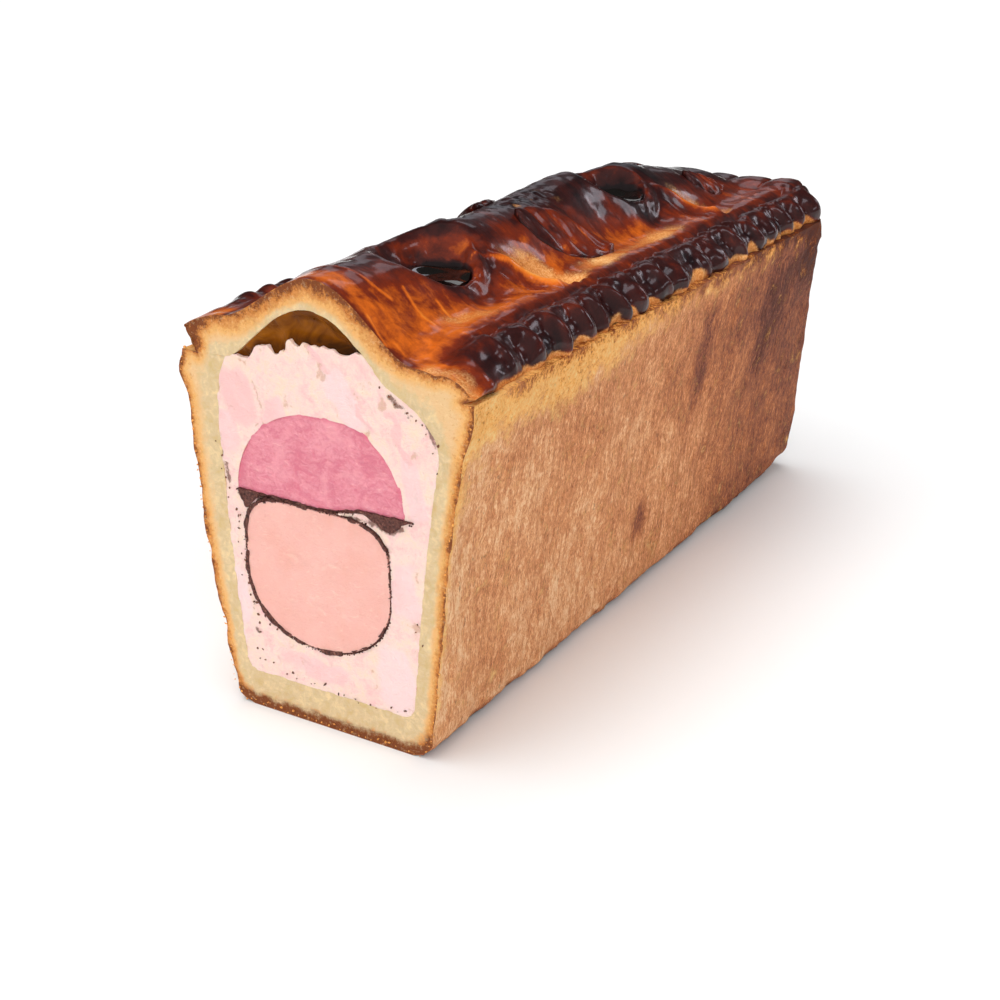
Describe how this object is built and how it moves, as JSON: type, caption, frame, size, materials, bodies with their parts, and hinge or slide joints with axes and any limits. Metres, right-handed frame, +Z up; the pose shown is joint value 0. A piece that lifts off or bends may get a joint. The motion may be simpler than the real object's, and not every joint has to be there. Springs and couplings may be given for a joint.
{
  "type": "pate en croute",
  "caption": "Cut loaf of pate en croute: a tall pastry case under a domed, crimped lid with vents and leaves, filled with forcemeat, ham, wrapped liver and jelly.",
  "frame": {"origin": "under the middle of the loaf, on the surface that it stands on", "axes": "+Z up, +Y along the loaf from the cut face to the closed end, +X to the right seen from the cut"},
  "size_m": [0.096, 0.255, 0.1321],
  "materials": {
    "crust": "baked crust",
    "glaze": "egg-wash gloss",
    "forcemeat": "moist",
    "ham": "moist",
    "liver": "smooth",
    "wrap": "crumbly",
    "jelly": "clear gloss"
  },
  "bodies": {
    "root": {"pastry_case": "crust", "pastry_lid": "glaze", "forcemeat": "forcemeat", "ham": "ham", "liver_block": "liver", "dark_wrap": "wrap", "jelly": "jelly", "leaf_right_1": "glaze", "leaf_left_1": "glaze", "leaf_right_2": "glaze", "leaf_left_2": "glaze"}
  },
  "joints": []
}
